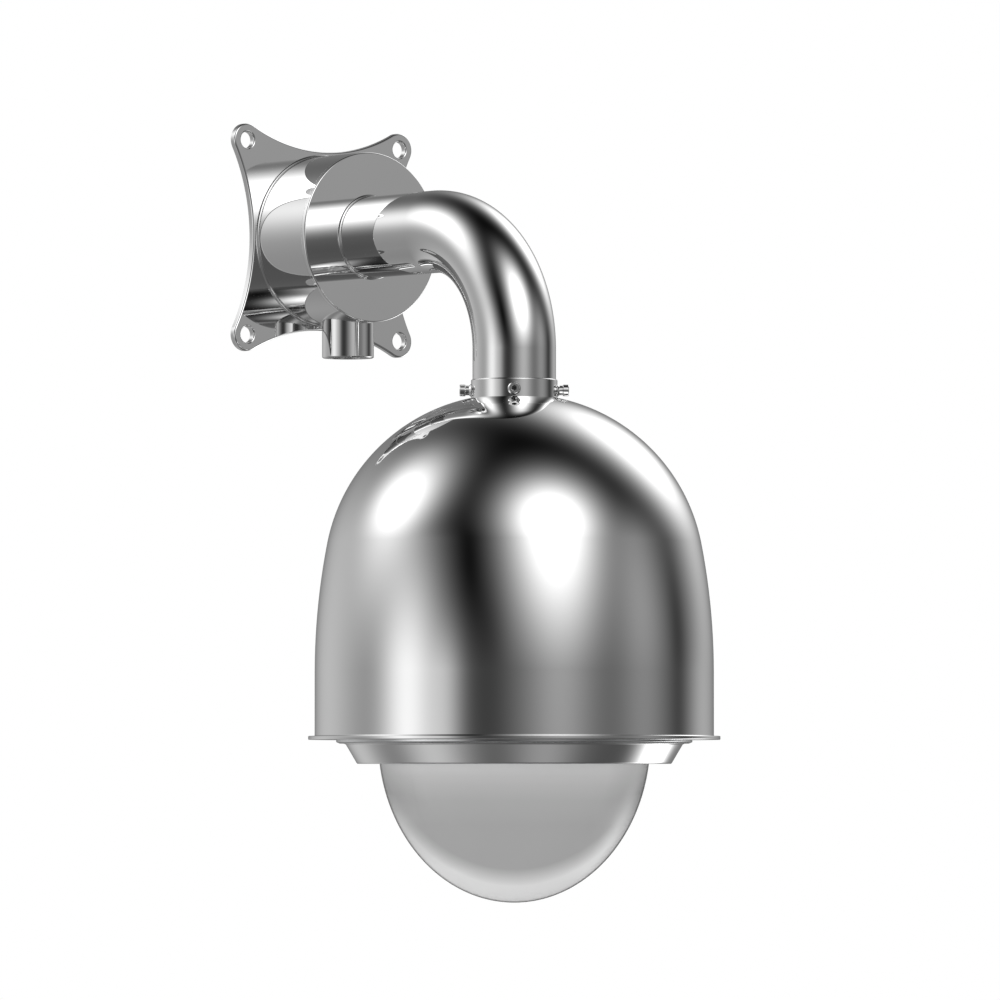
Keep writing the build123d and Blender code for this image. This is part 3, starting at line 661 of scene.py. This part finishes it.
def rounded(this, came, leaves, room):
    """How far a corner's round reaches, and its points with their directions"""
    turn = atan2(came.cross(leaves), came.dot(leaves))
    if abs(turn) < TANGENT:
        return 0.0, [(this["place"], came)]
    reach = min(this["rounding"] * tan(abs(turn) / 2), room)
    side = 1.0 if turn > 0.0 else -1.0
    arm = side * reach / tan(abs(turn) / 2)
    middle = this["place"] - reach * came + arm * left_of(came)
    steps = max(2, ceil(abs(turn) / ROUND_STEP))
    points = []
    for index in range(steps + 1):
        angle = turn * index / steps
        way = came * cos(angle) + left_of(came) * sin(angle)
        points.append((middle - arm * left_of(way), way))
    return reach, points


def trace(corners):
    """Section as points with directions, the solid on the left, open where it starts on the axis"""
    count = len(corners)
    closed = corners[0]["place"].x > 0.0
    ends = [corners[(index + 1) % count]["place"] for index in range(count)]
    ways = [run_ways(run, end) for run, end in zip(corners, ends)]
    rounds = []
    for index, this in enumerate(corners):
        if closed or 0 < index < count - 1:
            lengths = ((ends[other] - corners[other]["place"]).length for other in (index - 1, index))
            rounds.append(rounded(this, ways[index - 1][1], ways[index][0], ROUND_ROOM * min(lengths)))
        else:
            rounds.append((0.0, [(this["place"], ways[0][0] if index == 0 else ways[index - 1][1])]))
    points = []
    for index, (run, end) in enumerate(zip(corners, ends)):
        points += rounds[index][1]
        if closed or index < count - 1:
            points += run_points(run, end, rounds[index][0], rounds[(index + 1) % count][0])
    return points, closed


# Paths and meshes


def down_dome(height):
    """Place on the dome's axis at a height, with the axes of its section"""
    place = Vector((0.0, -ARM_REACH, height))
    return place, Vector((1.0, 0.0, 0.0)), Vector((0.0, 1.0, 0.0)), Vector((0.0, 0.0, 1.0))


def along_arm(distance):
    """Place on the arm's axis at a distance from the wall, with the axes of its section"""
    straight = min(distance, BEND_START)
    turn = min(max(distance - BEND_START, 0.0) / BEND_RADIUS, QUARTER_TURN)
    drop = max(distance - BEND_START - BEND_RADIUS * QUARTER_TURN, 0.0)
    height = -BEND_RADIUS * (1.0 - cos(turn)) - drop
    place = Vector((0.0, -straight - BEND_RADIUS * sin(turn), height))
    above = Vector((0.0, -sin(turn), cos(turn)))
    ahead = Vector((0.0, -cos(turn), -sin(turn)))
    return place, Vector((1.0, 0.0, 0.0)), above, ahead


def placed_mesh(name, vertices, faces, normals, body):
    """Smooth mesh object with the given normals, riding on a body"""
    mesh = bpy.data.meshes.new(name)
    mesh.from_pydata(vertices, [], faces)
    mesh.polygons.foreach_set("use_smooth", [True] * len(mesh.polygons))
    mesh.normals_split_custom_set_from_vertices(normals)
    piece = bpy.data.objects.new(name, mesh)
    bpy.context.scene.collection.objects.link(piece)
    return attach(piece, body)


def swept(name, corners, path, around, body="housing"):
    """Piece made by carrying a section round and along a path, with exact normals"""
    points, closed = trace(corners)
    vertices = []
    normals = []
    rows = []
    for place, way in points:
        origin, side, other, along = path(place.y)
        count = around if place.x > 0.0 else 1
        rows.append([len(vertices) + index for index in range(count)])
        for index in range(count):
            angle = 2 * pi * index / around
            radial = side * cos(angle) + other * sin(angle)
            vertices.append((origin + radial * place.x) * MM)
            normals.append(radial * way.y - along * way.x)
    faces = []
    for row in range(len(rows) if closed else len(rows) - 1):
        low = rows[row]
        high = rows[(row + 1) % len(rows)]
        for index in range(around):
            this = index % len(low), index % len(high)
            after = (index + 1) % len(low), (index + 1) % len(high)
            ring = [low[this[0]], low[after[0]], high[after[1]], high[this[1]]]
            faces.append(list(dict.fromkeys(ring)))
    return placed_mesh(name, vertices, faces, normals, body)


def stands_for(piece, node):
    """Let a piece stand in for a CAD node: hide the node and give the piece its material"""
    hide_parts(node)
    piece.data.materials.append(material_of[node])


# Bell, rings and bubble


def spun_shroud():
    """Bell with its flange, the skirt tangent to the shoulder and the shoulder to the crown"""
    inner_radius = CROWN_RADIUS - BELL_SHEET
    crown = Vector(CROWN_CENTRE)
    meet_inner = crown + (Vector(ARCS_MEET) - crown) * (inner_radius / CROWN_RADIUS)
    hole = COLLAR_RADIUS - CROWN_CENTRE[0]
    outer_edge = CROWN_CENTRE[1] + sqrt(CROWN_RADIUS**2 - hole**2)
    inner_edge = CROWN_CENTRE[1] + sqrt(inner_radius**2 - hole**2)
    corners = (
        corner(BELL_BORE, FLANGE_BOTTOM),
        corner(FLANGE_RADIUS, FLANGE_BOTTOM, FLANGE_ROUND),
        corner(FLANGE_RADIUS, FLANGE_TOP, FLANGE_ROUND),
        corner(BELL_RADIUS, FLANGE_TOP, FLANGE_ROUND),
        corner(BELL_RADIUS, SHOULDER_CENTRE[1], centre=SHOULDER_CENTRE),
        corner(*ARCS_MEET, centre=CROWN_CENTRE),
        corner(COLLAR_RADIUS, outer_edge),
        corner(COLLAR_RADIUS, inner_edge, centre=CROWN_CENTRE),
        corner(*meet_inner, centre=SHOULDER_CENTRE),
        corner(BELL_BORE, SHOULDER_CENTRE[1]),
    )
    stands_for(swept("spun_shroud", corners, down_dome, BELL_SEGMENTS), "shroud")


def stepped_ring():
    """Ring under the bell: rounded step below, grooved rim inside the skirt, land for the bubble's seal"""
    groove_radius = BELL_BORE - GROOVE_DEPTH
    corners = (
        corner(RING_BORE, SEAL_LAND),
        corner(SEAL_LAND_RADIUS, SEAL_LAND),
        corner(SEAL_LAND_RADIUS, STEP_BOTTOM),
        corner(STEP_RADIUS - STEP_SLANT_WIDTH, STEP_BOTTOM, STEP_ROUND),
        corner(STEP_RADIUS, STEP_BOTTOM + STEP_SLANT_HEIGHT, STEP_ROUND),
        corner(STEP_RADIUS, FLANGE_BOTTOM, CRISP),
        corner(BELL_BORE, FLANGE_BOTTOM, CRISP),
        corner(BELL_BORE, GROOVE_BOTTOM),
        corner(groove_radius, GROOVE_BOTTOM),
        corner(groove_radius, GROOVE_TOP),
        corner(BELL_BORE, GROOVE_TOP),
        corner(BELL_BORE, RIM_TOP),
        corner(RIM_RADIUS, RIM_TOP),
        corner(RIM_RADIUS, WEB_TOP),
        corner(RING_BORE, WEB_TOP),
    )
    stands_for(swept("stepped_ring", corners, down_dome, BELL_SEGMENTS), "base_ring")


def half_width(axes, depth):
    """Half width of an ellipse at a depth below its centre"""
    return axes[0] * sqrt(1.0 - (depth / axes[1]) ** 2)


def blown_bubble():
    """Egg-shaped dome with its clamping flange"""
    middle = (0.0, BUBBLE_CENTRE)
    outer = (BUBBLE_RADIUS, BUBBLE_DROP)
    inner = (BUBBLE_RADIUS - BUBBLE_WALL, BUBBLE_DROP - BUBBLE_WALL)
    outer_rim = half_width(outer, BUBBLE_CENTRE - BUBBLE_FLANGE_BOTTOM)
    inner_rim = half_width(inner, BUBBLE_CENTRE - BUBBLE_FLANGE_TOP)
    corners = (
        corner(0.0, BUBBLE_BOTTOM, centre=middle, axes=outer),
        corner(outer_rim, BUBBLE_FLANGE_BOTTOM, BUBBLE_ROUND),
        corner(BUBBLE_FLANGE_RADIUS, BUBBLE_FLANGE_BOTTOM, BUBBLE_ROUND),
        corner(BUBBLE_FLANGE_RADIUS, BUBBLE_FLANGE_TOP, BUBBLE_ROUND),
        corner(inner_rim, BUBBLE_FLANGE_TOP, BUBBLE_ROUND, middle, inner),
        corner(0.0, BUBBLE_BOTTOM + BUBBLE_WALL),
    )
    stands_for(swept("blown_bubble", corners, down_dome, BUBBLE_SEGMENTS), "bubble")


# Arm, collar, cover and weld beads


def turned_collar():
    """Socket that the arm's end stands in, round at its rim"""
    corners = (
        corner(COLLAR_BORE, COLLAR_BOTTOM, CRISP),
        corner(COLLAR_RADIUS, COLLAR_BOTTOM, CRISP),
        corner(COLLAR_RADIUS, COLLAR_TOP, COLLAR_ROUND),
        corner(COLLAR_BORE, COLLAR_TOP, CRISP),
    )
    stands_for(swept("turned_collar", corners, down_dome, TUBE_SEGMENTS), "collar")


def drum_cover():
    """Round cover of the drum, with a soft rim and the wire way into the arm"""
    corners = (
        corner(ARM_BORE, COVER_BACK, CRISP),
        corner(DRUM_RADIUS, COVER_BACK, CRISP),
        corner(DRUM_RADIUS, COVER_FACE, COVER_ROUND),
        corner(ARM_BORE, COVER_FACE, CRISP),
    )
    stands_for(swept("drum_cover", corners, along_arm, DRUM_SEGMENTS), "drum_face")


def bent_arm():
    """Tube from the drum's face round the bend and down onto the collar"""
    length = BEND_START + BEND_RADIUS * QUARTER_TURN - COLLAR_TOP - BEND_RADIUS
    corners = (
        corner(ARM_BORE, COVER_FACE, CRISP),
        corner(ARM_RADIUS, COVER_FACE, CRISP, step=ARM_STEP),
        corner(ARM_RADIUS, length, WELD_ROUND),
        corner(ARM_BORE, length, CRISP, step=ARM_BORE_STEP),
    )
    stands_for(swept("bent_arm", corners, along_arm, TUBE_SEGMENTS), "gooseneck_arm")


def weld_bead(name, node, radius, start):
    """Full round bead in the corner where a tube stands on a plate"""
    corners = (
        corner(radius, start, CRISP),
        corner(radius + WELD_LEG, start, WELD_ROUND, centre=(radius, start)),
        corner(radius, start + WELD_LEG, WELD_ROUND),
    )
    stands_for(swept(name, corners, along_arm, DRUM_SEGMENTS), node)


# Wall plate


def spaced(low, high, pieces):
    """Angles from one to another, both included"""
    return [low + (high - low) * index / pieces for index in range(pieces + 1)]


def towards(angle):
    """Direction in the plate's plane"""
    return Vector((cos(angle), sin(angle)))


def hole_edge(x, y, radius, pieces):
    """Edge of a round hole: points with the directions into the hole, clockwise"""
    angles = spaced(0.0, -2 * pi, pieces)[1:]
    return [(Vector((x, y)) + towards(angle) * radius, -towards(angle)) for angle in angles]


def plate_edge():
    """Edge of the wall plate: points with their outward directions, anticlockwise round the four ears"""
    side_rise = sqrt((PLATE_SIDE_RADIUS + EAR_RADIUS) ** 2 - EAR_PLACE**2)
    reach = atan2(side_rise, EAR_PLACE)
    ear = Vector((EAR_PLACE, EAR_PLACE))
    side = Vector((0.0, EAR_PLACE + side_rise))
    quarter = []
    for angle in spaced(reach - pi / 2, pi - reach, EAR_SEGMENTS):
        quarter.append((ear + towards(angle) * EAR_RADIUS, towards(angle)))
    for angle in spaced(-reach, reach - pi, EAR_SEGMENTS)[1:-1]:
        quarter.append((side + towards(angle) * PLATE_SIDE_RADIUS, -towards(angle)))
    turns = [Matrix.Rotation(pi / 2 * index, 2) for index in range(4)]
    return [(turn @ place, turn @ away) for turn in turns for place, away in quarter]


def edge_rows(front):
    """Rows of the plate's edge from back to front: inset, height and lean of the normal"""
    rows = []
    for lean in spaced(-pi / 2, 0.0, BACK_STEPS):
        rows.append((BACK_ROUND * (1 - cos(lean)), BACK_ROUND * (1 + sin(lean)), lean))
    for lean in spaced(0.0, pi / 2, FRONT_STEPS):
        rows.append((front * (1 - cos(lean)), PLATE_THICKNESS - front * (1 - sin(lean)), lean))
    return rows


def lid(vertices, loops, way):
    """Flat faces inside an outline and outside its holes, looking one way"""
    flat = [index for loop in loops for index in loop]
    outlines = [[vertices[index] for index in loop] for loop in loops]
    faces = []
    for triangle in tessellate_polygon(outlines):
        face = [flat[index] for index in triangle]
        first, second, third = (vertices[index] for index in face)
        facing = (second - first).cross(third - first).dot(way)
        faces.append(face if facing > 0.0 else face[::-1])
    return faces


def four_eared_plate():
    """Wall plate with round-edged ears, four bolt holes and the opening for the wires behind the drum"""
    ears = (-EAR_PLACE, EAR_PLACE)
    edges = [(plate_edge(), PLATE_ROUND)]
    edges += [(hole_edge(x, y, BOLT_HOLE_RADIUS, HOLE_SEGMENTS), PLATE_ROUND) for x in ears for y in ears]
    edges.append((hole_edge(0.0, 0.0, WIRE_OPENING_RADIUS, OPENING_SEGMENTS), BACK_ROUND))
    vertices = []
    normals = []
    faces = []
    backs = []
    fronts = []
    for points, front in edges:
        rows = []
        for inset, height, lean in edge_rows(front):
            rows.append([len(vertices) + index for index in range(len(points))])
            for place, away in points:
                spot = place - away * inset
                vertices.append(Vector((spot.x, -height, spot.y)) * MM)
                normals.append(Vector((away.x * cos(lean), -sin(lean), away.y * cos(lean))))
        for low, high in zip(rows, rows[1:]):
            for index in range(len(low)):
                faces.append([low[index - 1], low[index], high[index], high[index - 1]])
        backs.append(rows[0])
        fronts.append(rows[-1])
    faces += lid(vertices, fronts, Vector((0.0, -1.0, 0.0)))
    faces += lid(vertices, backs, Vector((0.0, 1.0, 0.0)))
    stands_for(placed_mesh("four_eared_plate", vertices, faces, normals, "housing"), "wall_plate")


four_eared_plate()
spun_shroud()
stepped_ring()
turned_collar()
drum_cover()
bent_arm()
blown_bubble()
weld_bead("arm_bead", "arm_weld", ARM_RADIUS, COVER_FACE)
weld_bead("plate_bead", "plate_weld", DRUM_RADIUS, PLATE_THICKNESS)


# Studio


def lamp_direction(turn, height):
    """Direction towards a lamp, its turn counted from the camera to the picture's right"""
    back = Vector((sin(VIEW_TURN), -cos(VIEW_TURN), 0.0))
    right = Vector((cos(VIEW_TURN), sin(VIEW_TURN), 0.0))
    level = back * cos(turn) + right * sin(turn)
    return level * cos(height) + Vector((0.0, 0.0, sin(height)))


def soft_spot(tree, angle, size):
    """Soft round falloff with the angle from its middle"""
    share = math(tree, "DIVIDE", angle, size)
    return math(tree, "EXPONENT", times(tree, times(tree, share, share), -1.0))


def studio_light(tree):
    """Strength of the studio's light by direction, with an even fill for dull surfaces"""
    place = add(tree, "NewGeometry").outputs["Position"]
    away = vector_math(tree, "NORMALIZE", vector_math(tree, "SUBTRACT", place, tuple(STAGE_CENTRE)))
    height = math(tree, "ARCSINE", add(tree, "SeparateXYZ", {"Vector": away}).outputs["Z"])
    horizon = times(tree, soft_spot(tree, height, HORIZON_SIZE), HORIZON_STRENGTH / STEEL_REFLECTANCE)
    ground = spread(tree, height, 0.0, GROUND_STRENGTH / STEEL_REFLECTANCE, 0.0, GROUND_EDGE)
    strength = plus(tree, horizon, ground)
    for turn, rise, size, level in LAMPS.values():
        middle = tuple(lamp_direction(radians(turn), radians(rise)))
        closeness = vector_math(tree, "DOT_PRODUCT", away, middle, output="Value")
        angle = math(tree, "ARCCOSINE", math(tree, "MINIMUM", closeness, ALMOST_ONE))
        spot = soft_spot(tree, angle, radians(size))
        strength = plus(tree, strength, times(tree, spot, level / STEEL_REFLECTANCE))
    strength = math(tree, "MAXIMUM", strength, 0.0)
    bounced = math(tree, "MINIMUM", add(tree, "LightPath").outputs["Diffuse Depth"], 1.0)
    return plus(tree, strength, times(tree, bounced, SOFT_FILL))


def studio_tent():
    """Dark tent round the object with soft round lamps, seen only in reflections"""
    bpy.ops.mesh.primitive_uv_sphere_add(
        segments=64, ring_count=32, radius=STUDIO_RADIUS, location=STAGE_CENTRE
    )
    tent = bpy.context.object
    tent.name = "studio_tent"
    material = new_material("studio_tent")
    tree = material.node_tree
    finish_material(material, add(tree, "Emission", {"Strength": studio_light(tree)}).outputs[0])
    tent.data.materials.append(material)
    tent.visible_camera = False
    tent.visible_transmission = False
    tent.visible_shadow = False


def pale_floor():
    """Round pale floor under the hung object that fades out at its rim"""
    bpy.ops.mesh.primitive_circle_add(
        vertices=128, radius=FLOOR_RADIUS, fill_type="NGON", location=(0.0, STAGE_CENTRE.y, FLOOR_HEIGHT)
    )
    floor = bpy.context.object
    floor.name = "floor"
    material = new_material("floor_paper")
    tree = material.node_tree
    place = object_place(tree)
    colour = two_tones(tree, noise(tree, place, 40.0, 4.0), grey(0.86), grey(0.84))
    inputs = {"Base Color": colour, "Roughness": 0.8, "Specular IOR Level": 0.2}
    paper = add(tree, "BsdfPrincipled", inputs).outputs[0]
    distance = vector_math(tree, "LENGTH", place, output="Value")
    fade = spread(tree, distance, 0.0, 1.0, FLOOR_FADE_START, FLOOR_FADE_END)
    fade = math(tree, "MAXIMUM", fade, add(tree, "NewGeometry").outputs["Backfacing"])
    clear = add(tree, "BsdfTransparent").outputs[0]
    finish_material(material, add(tree, "MixShader", {0: fade, 1: paper, 2: clear}).outputs[0])
    floor.data.materials.append(material)
    floor.visible_glossy = False


def white_world():
    """White background for the camera, for reflections and through glass"""
    world = bpy.data.worlds.new("studio_world")
    bpy.context.scene.world = world
    world.use_nodes = True
    tree = world.node_tree
    tree.nodes.clear()
    path = add(tree, "LightPath").outputs
    seen = math(tree, "MAXIMUM", path["Is Camera Ray"], path["Is Glossy Ray"])
    seen = math(tree, "MAXIMUM", seen, path["Is Transmission Ray"])
    background = add(tree, "Background", {"Color": (*grey(1.0), 1.0), "Strength": seen})
    add(tree, "OutputWorld", {"Surface": background.outputs[0]})


def photo_camera():
    """The photograph's long lens, at its fitted place"""
    data = bpy.data.cameras.new("photo_camera")
    camera = bpy.data.objects.new("photo_camera", data)
    bpy.context.scene.collection.objects.link(camera)
    data.lens = LENS_MM
    data.sensor_width = SENSOR_MM
    data.sensor_fit = "HORIZONTAL"
    data.clip_start = NEAREST_SEEN
    data.clip_end = FARTHEST_SEEN
    turn = VIEW_TURN + VIEW_YAW
    ahead = Vector((-sin(turn) * cos(VIEW_PITCH), cos(turn) * cos(VIEW_PITCH), sin(VIEW_PITCH)))
    side = ahead.cross(Vector((0.0, 0.0, 1.0))).normalized()
    up = side.cross(ahead)
    place = Vector(
        (sin(VIEW_TURN) * VIEW_DISTANCE, VIEW_TARGET_Y - cos(VIEW_TURN) * VIEW_DISTANCE, VIEW_HEIGHT)
    )
    axes = Matrix((side, up, -ahead)).transposed()
    camera.matrix_world = Matrix.Translation(place) @ axes.to_4x4()
    bpy.context.scene.camera = camera


studio_tent()
pale_floor()
white_world()
photo_camera()

bpy.context.scene.view_settings.view_transform = "Standard"
